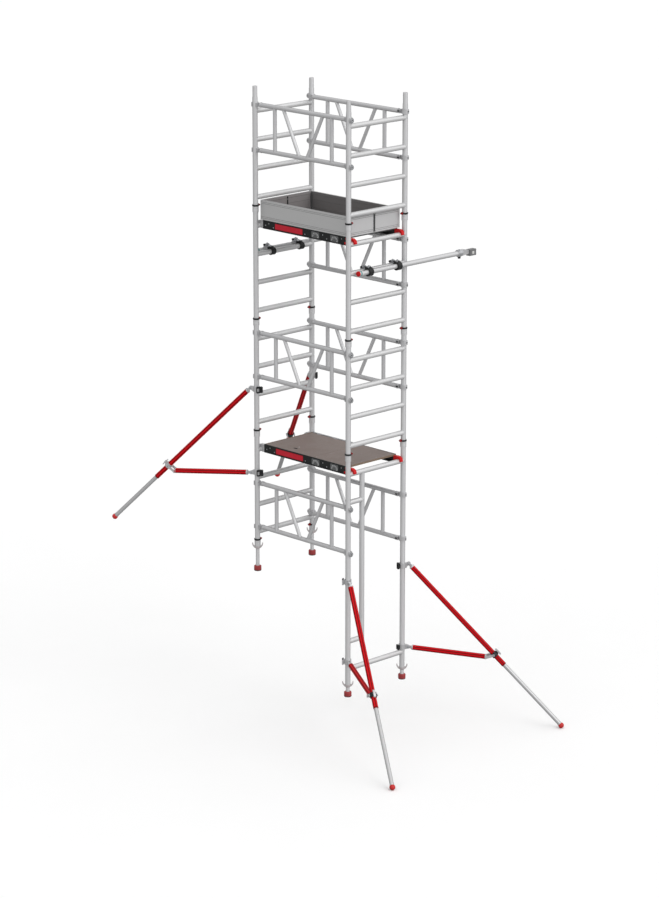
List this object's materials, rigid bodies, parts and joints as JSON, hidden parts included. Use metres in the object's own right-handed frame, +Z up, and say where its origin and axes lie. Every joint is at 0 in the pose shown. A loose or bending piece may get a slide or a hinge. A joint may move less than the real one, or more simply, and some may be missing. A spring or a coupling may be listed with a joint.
{
  "type": "mobile tower scaffold",
  "caption": "Aluminium tower scaffold for a stair flight, with ladder end frames, guardrails, hatch platforms, folding toe boards, adjustable legs, stabilisers and wall ties.",
  "frame": {"origin": "plan centre of the four uprights, at the level of the lowest stabiliser feet", "axes": "+X along the platforms towards the downhill end, +Y across the ladder frames towards the wall, +Z up"},
  "size_m": [4.0042, 2.4358, 6.2414],
  "materials": {
    "tower_tube": "extruded, satin",
    "rail_tube": "extruded, satin",
    "collar_plastic": "moulded",
    "clip_plastic": "moulded",
    "deck_beam": "moulded, fine grain",
    "plywood": "phenolic film with mesh print",
    "toe_aluminium": "extruded, satin",
    "jack_leg": "threaded tube with a rubber foot",
    "jack_nut": "cast",
    "clamp_alloy": "cast",
    "stabiliser_outer": "powder coated, grooved",
    "stabiliser_inner": "extruded, satin",
    "strut_tube": "powder coated, grooved",
    "coupler_alloy": "cast",
    "tie_tube": "extruded, satin",
    "tie_coupler": "zinc plated"
  },
  "bodies": {
    "tower": {"uphill_ladder_frame_1": "tower_tube", "uphill_ladder_frame_2": "tower_tube", "uphill_ladder_frame_3": "tower_tube", "uphill_ladder_frame_4": "tower_tube", "downhill_ladder_frame_1": "tower_tube", "downhill_ladder_frame_2": "tower_tube", "downhill_ladder_frame_3": "tower_tube", "downhill_walk_through_frame": "tower_tube", "guardrail_front_low": "rail_tube", "guardrail_front_middle": "rail_tube", "guardrail_front_top": "rail_tube", "guardrail_back_low": "rail_tube", "guardrail_back_middle": "rail_tube", "guardrail_back_below_deck": "rail_tube", "guardrail_back_top": "rail_tube", "joint_collars": "collar_plastic", "joint_clips": "clip_plastic", "upper_deck_frame": "deck_beam", "upper_deck_panel": "plywood", "lower_deck_frame": "deck_beam", "lower_deck_panel": "plywood", "toe_board_front": "toe_aluminium", "wall_tie_couplers": "tie_coupler"},
    "upper_hatch": {"upper_deck_hatch": "plywood"},
    "lower_hatch": {"lower_deck_hatch": "plywood"},
    "toe_uphill_front_half": {"toe_board_uphill_front_half": "toe_aluminium"},
    "toe_uphill_back_half": {"toe_board_uphill_back_half": "toe_aluminium"},
    "toe_back": {"toe_board_back": "toe_aluminium"},
    "toe_downhill_front_half": {"toe_board_downhill_front_half": "toe_aluminium"},
    "toe_downhill_back_half": {"toe_board_downhill_back_half": "toe_aluminium"},
    "jack_leg_uphill_front": {"jack_leg_uphill_front": "jack_leg"},
    "jack_nut_uphill_front": {"jack_nut_uphill_front": "jack_nut"},
    "jack_leg_downhill_front": {"jack_leg_downhill_front": "jack_leg"},
    "jack_nut_downhill_front": {"jack_nut_downhill_front": "jack_nut"},
    "jack_leg_downhill_back": {"jack_leg_downhill_back": "jack_leg"},
    "jack_nut_downhill_back": {"jack_nut_downhill_back": "jack_nut"},
    "jack_leg_uphill_back": {"jack_leg_uphill_back": "jack_leg"},
    "jack_nut_uphill_back": {"jack_nut_uphill_back": "jack_nut"},
    "stabiliser_clamps_uphill_front": {"stabiliser_clamps_uphill_front": "clamp_alloy"},
    "stabiliser_leg_uphill_front": {"stabiliser_leg_uphill_front": "stabiliser_outer"},
    "stabiliser_inner_leg_uphill_front": {"stabiliser_inner_leg_uphill_front": "stabiliser_inner"},
    "stabiliser_strut_uphill_front": {"stabiliser_strut_uphill_front": "strut_tube"},
    "stabiliser_coupler_uphill_front": {"stabiliser_coupler_uphill_front": "coupler_alloy"},
    "stabiliser_clamps_downhill_front": {"stabiliser_clamps_downhill_front": "clamp_alloy"},
    "stabiliser_leg_downhill_front": {"stabiliser_leg_downhill_front": "stabiliser_outer"},
    "stabiliser_inner_leg_downhill_front": {"stabiliser_inner_leg_downhill_front": "stabiliser_inner"},
    "stabiliser_strut_downhill_front": {"stabiliser_strut_downhill_front": "strut_tube"},
    "stabiliser_coupler_downhill_front": {"stabiliser_coupler_downhill_front": "coupler_alloy"},
    "stabiliser_clamps_downhill_back": {"stabiliser_clamps_downhill_back": "clamp_alloy"},
    "stabiliser_leg_downhill_back": {"stabiliser_leg_downhill_back": "stabiliser_outer"},
    "stabiliser_inner_leg_downhill_back": {"stabiliser_inner_leg_downhill_back": "stabiliser_inner"},
    "stabiliser_strut_downhill_back": {"stabiliser_strut_downhill_back": "strut_tube"},
    "stabiliser_coupler_downhill_back": {"stabiliser_coupler_downhill_back": "coupler_alloy"},
    "stabiliser_clamps_uphill_back": {"stabiliser_clamps_uphill_back": "clamp_alloy"},
    "stabiliser_leg_uphill_back": {"stabiliser_leg_uphill_back": "stabiliser_outer"},
    "stabiliser_inner_leg_uphill_back": {"stabiliser_inner_leg_uphill_back": "stabiliser_inner"},
    "stabiliser_strut_uphill_back": {"stabiliser_strut_uphill_back": "strut_tube"},
    "stabiliser_coupler_uphill_back": {"stabiliser_coupler_uphill_back": "coupler_alloy"},
    "wall_tie_uphill": {"wall_tie_uphill": "tie_tube"},
    "wall_tie_downhill": {"wall_tie_downhill": "tie_tube"}
  },
  "joints": [
    {"name": "upper_hatch_hinge", "type": "hinge", "parent": "tower", "child": "upper_hatch", "pos_m": [-0.236, 0.31, 4.939], "axis": [-1, 0, 0], "range_deg": [0, 90]},
    {"name": "lower_hatch_hinge", "type": "hinge", "parent": "tower", "child": "lower_hatch", "pos_m": [-0.236, 0.31, 2.699], "axis": [-1, 0, 0], "range_deg": [0, 90]},
    {"name": "toe_fold_uphill_front", "type": "hinge", "parent": "tower", "child": "toe_uphill_front_half", "pos_m": [-0.578, -0.313, 5.0355], "axis": [0, 0, -1], "range_deg": [0, 85]},
    {"name": "toe_fold_uphill_middle", "type": "hinge", "parent": "toe_uphill_front_half", "child": "toe_uphill_back_half", "pos_m": [-0.611, 0, 5.0355], "axis": [0, 0, 1], "range_deg": [0, 170.5]},
    {"name": "toe_fold_back_board", "type": "hinge", "parent": "toe_uphill_back_half", "child": "toe_back", "pos_m": [-0.578, 0.313, 5.0355], "axis": [0, 0, -1], "range_deg": [0, 85.5]},
    {"name": "toe_fold_downhill_front", "type": "hinge", "parent": "tower", "child": "toe_downhill_front_half", "pos_m": [0.578, -0.313, 5.0355], "axis": [0, 0, 1], "range_deg": [0, 85.5]},
    {"name": "toe_fold_downhill_middle", "type": "hinge", "parent": "toe_downhill_front_half", "child": "toe_downhill_back_half", "pos_m": [0.611, 0, 5.0355], "axis": [0, 0, -1], "range_deg": [0, 170.5]},
    {"name": "jack_nut_turn_uphill_front", "type": "hinge", "parent": "tower", "child": "jack_nut_uphill_front", "pos_m": [-0.63875, -0.375, 1.6429], "axis": [0, 0, 1], "range_deg": [-1800, 6750]},
    {"name": "jack_leg_slide_uphill_front", "type": "slide", "parent": "tower", "child": "jack_leg_uphill_front", "axis": [0, 0, -1], "range_m": [-0.0401, 0.1501]},
    {"name": "jack_nut_turn_downhill_front", "type": "hinge", "parent": "tower", "child": "jack_nut_downhill_front", "pos_m": [0.63875, -0.375, 0.5109], "axis": [0, 0, 1], "range_deg": [-1800, 6750]},
    {"name": "jack_leg_slide_downhill_front", "type": "slide", "parent": "tower", "child": "jack_leg_downhill_front", "axis": [0, 0, -1], "range_m": [-0.0401, 0.1501]},
    {"name": "jack_nut_turn_downhill_back", "type": "hinge", "parent": "tower", "child": "jack_nut_downhill_back", "pos_m": [0.63875, 0.375, 0.5109], "axis": [0, 0, 1], "range_deg": [-1800, 6750]},
    {"name": "jack_leg_slide_downhill_back", "type": "slide", "parent": "tower", "child": "jack_leg_downhill_back", "axis": [0, 0, -1], "range_m": [-0.0401, 0.1501]},
    {"name": "jack_nut_turn_uphill_back", "type": "hinge", "parent": "tower", "child": "jack_nut_uphill_back", "pos_m": [-0.63875, 0.375, 1.6429], "axis": [0, 0, 1], "range_deg": [-1800, 6750]},
    {"name": "jack_leg_slide_uphill_back", "type": "slide", "parent": "tower", "child": "jack_leg_uphill_back", "axis": [0, 0, -1], "range_m": [-0.0401, 0.1501]},
    {"name": "stabiliser_swing_uphill_front", "type": "hinge", "parent": "tower", "child": "stabiliser_clamps_uphill_front", "pos_m": [-0.63875, -0.375, 3.258], "axis": [0, 0, 1], "range_deg": [-35, 35]},
    {"name": "stabiliser_spread_uphill_front", "type": "hinge", "parent": "stabiliser_clamps_uphill_front", "child": "stabiliser_leg_uphill_front", "pos_m": [-0.69316, -0.40472, 3.26795], "axis": [-0.4793, 0.8776, 0], "range_deg": [-3, 15]},
    {"name": "stabiliser_strut_turn_uphill_front", "type": "hinge", "parent": "stabiliser_clamps_uphill_front", "child": "stabiliser_strut_uphill_front", "pos_m": [-0.69316, -0.40472, 2.40595], "axis": [-0.4793, 0.8776, 0], "range_deg": [-6.1, 30.1]},
    {"name": "stabiliser_coupler_turn_uphill_front", "type": "hinge", "parent": "stabiliser_strut_uphill_front", "child": "stabiliser_coupler_uphill_front", "pos_m": [-1.44969, -0.81789, 2.40855], "axis": [-0.4793, 0.8776, 0], "range_deg": [-15.1, 3.1]},
    {"name": "stabiliser_extend_uphill_front", "type": "slide", "parent": "stabiliser_leg_uphill_front", "child": "stabiliser_inner_leg_uphill_front", "axis": [-0.6215, -0.3394, -0.706], "range_m": [-0.45, 0.2]},
    {"name": "stabiliser_swing_downhill_front", "type": "hinge", "parent": "tower", "child": "stabiliser_clamps_downhill_front", "pos_m": [0.63875, -0.375, 1.568], "axis": [0, 0, 1], "range_deg": [-35, 35]},
    {"name": "stabiliser_spread_downhill_front", "type": "hinge", "parent": "stabiliser_clamps_downhill_front", "child": "stabiliser_leg_downhill_front", "pos_m": [0.69311, -0.40481, 1.57898], "axis": [-0.4808, -0.8768, 0], "range_deg": [-3, 15]},
    {"name": "stabiliser_strut_turn_downhill_front", "type": "hinge", "parent": "stabiliser_clamps_downhill_front", "child": "stabiliser_strut_downhill_front", "pos_m": [0.69311, -0.40481, 0.75698], "axis": [-0.4808, -0.8768, 0], "range_deg": [-6.1, 30.1]},
    {"name": "stabiliser_coupler_turn_downhill_front", "type": "hinge", "parent": "stabiliser_strut_downhill_front", "child": "stabiliser_coupler_downhill_front", "pos_m": [1.41285, -0.79949, 0.71339], "axis": [-0.4808, -0.8768, 0], "range_deg": [-15.1, 3.1]},
    {"name": "stabiliser_extend_downhill_front", "type": "slide", "parent": "stabiliser_leg_downhill_front", "child": "stabiliser_inner_leg_downhill_front", "axis": [0.6033, -0.3309, -0.7256], "range_m": [-0.45, 0.2]},
    {"name": "stabiliser_swing_downhill_back", "type": "hinge", "parent": "tower", "child": "stabiliser_clamps_downhill_back", "pos_m": [0.63875, 0.375, 1.587], "axis": [0, 0, 1], "range_deg": [-35, 35]},
    {"name": "stabiliser_spread_downhill_back", "type": "hinge", "parent": "stabiliser_clamps_downhill_back", "child": "stabiliser_leg_downhill_back", "pos_m": [0.69013, 0.4097, 1.59742], "axis": [0.5598, -0.8287, 0], "range_deg": [-3, 15]},
    {"name": "stabiliser_strut_turn_downhill_back", "type": "hinge", "parent": "stabiliser_clamps_downhill_back", "child": "stabiliser_strut_downhill_back", "pos_m": [0.69013, 0.4097, 0.73642], "axis": [0.5598, -0.8287, 0], "range_deg": [-6.1, 30.1]},
    {"name": "stabiliser_coupler_turn_downhill_back", "type": "hinge", "parent": "stabiliser_strut_downhill_back", "child": "stabiliser_coupler_downhill_back", "pos_m": [1.40341, 0.89152, 0.7164], "axis": [0.5598, -0.8287, 0], "range_deg": [-15.1, 3.1]},
    {"name": "stabiliser_extend_downhill_back", "type": "slide", "parent": "stabiliser_leg_downhill_back", "child": "stabiliser_inner_leg_downhill_back", "axis": [0.5791, 0.3912, -0.7153], "range_m": [-0.45, 0.2]},
    {"name": "stabiliser_swing_uphill_back", "type": "hinge", "parent": "tower", "child": "stabiliser_clamps_uphill_back", "pos_m": [-0.63875, 0.375, 3.269], "axis": [0, 0, 1], "range_deg": [-35, 35]},
    {"name": "stabiliser_spread_uphill_back", "type": "hinge", "parent": "stabiliser_clamps_uphill_back", "child": "stabiliser_leg_uphill_back", "pos_m": [-0.69236, 0.40615, 3.27873], "axis": [0.5024, 0.8647, 0], "range_deg": [-3, 15]},
    {"name": "stabiliser_strut_turn_uphill_back", "type": "hinge", "parent": "stabiliser_clamps_uphill_back", "child": "stabiliser_strut_uphill_back", "pos_m": [-0.69236, 0.40615, 2.40773], "axis": [0.5024, 0.8647, 0], "range_deg": [-6.1, 30.1]},
    {"name": "stabiliser_coupler_turn_uphill_back", "type": "hinge", "parent": "stabiliser_strut_uphill_back", "child": "stabiliser_coupler_uphill_back", "pos_m": [-1.44539, 0.84366, 2.42083], "axis": [0.5024, 0.8647, 0], "range_deg": [-15.1, 3.1]},
    {"name": "stabiliser_extend_uphill_back", "type": "slide", "parent": "stabiliser_leg_uphill_back", "child": "stabiliser_inner_leg_uphill_back", "axis": [-0.616, 0.3579, -0.7018], "range_m": [-0.45, 0.2]},
    {"name": "wall_tie_slide_uphill", "type": "slide", "parent": "tower", "child": "wall_tie_uphill", "axis": [0, 1, 0], "range_m": [-0.2, 0.1]},
    {"name": "wall_tie_slide_downhill", "type": "slide", "parent": "tower", "child": "wall_tie_downhill", "axis": [0, 1, 0], "range_m": [-0.2, 0.1]}
  ],
  "couplings": [
    {"joint": "toe_fold_uphill_middle", "follows": "toe_fold_uphill_front", "ratio": 2},
    {"joint": "toe_fold_back_board", "follows": "toe_fold_uphill_front", "ratio": 1},
    {"joint": "toe_fold_downhill_front", "follows": "toe_fold_uphill_front", "ratio": 1},
    {"joint": "toe_fold_downhill_middle", "follows": "toe_fold_uphill_front", "ratio": 2},
    {"joint": "jack_leg_slide_uphill_front", "follows": "jack_nut_turn_uphill_front", "m_per_rad": 0.0012732},
    {"joint": "jack_leg_slide_downhill_front", "follows": "jack_nut_turn_downhill_front", "m_per_rad": 0.0012732},
    {"joint": "jack_leg_slide_downhill_back", "follows": "jack_nut_turn_downhill_back", "m_per_rad": 0.0012732},
    {"joint": "jack_leg_slide_uphill_back", "follows": "jack_nut_turn_uphill_back", "m_per_rad": 0.0012732},
    {"joint": "stabiliser_strut_turn_uphill_front", "follows": "stabiliser_spread_uphill_front", "ratio": 2},
    {"joint": "stabiliser_coupler_turn_uphill_front", "follows": "stabiliser_spread_uphill_front", "ratio": -1},
    {"joint": "stabiliser_strut_turn_downhill_front", "follows": "stabiliser_spread_downhill_front", "ratio": 2},
    {"joint": "stabiliser_coupler_turn_downhill_front", "follows": "stabiliser_spread_downhill_front", "ratio": -1},
    {"joint": "stabiliser_strut_turn_downhill_back", "follows": "stabiliser_spread_downhill_back", "ratio": 2},
    {"joint": "stabiliser_coupler_turn_downhill_back", "follows": "stabiliser_spread_downhill_back", "ratio": -1},
    {"joint": "stabiliser_strut_turn_uphill_back", "follows": "stabiliser_spread_uphill_back", "ratio": 2},
    {"joint": "stabiliser_coupler_turn_uphill_back", "follows": "stabiliser_spread_uphill_back", "ratio": -1}
  ]
}
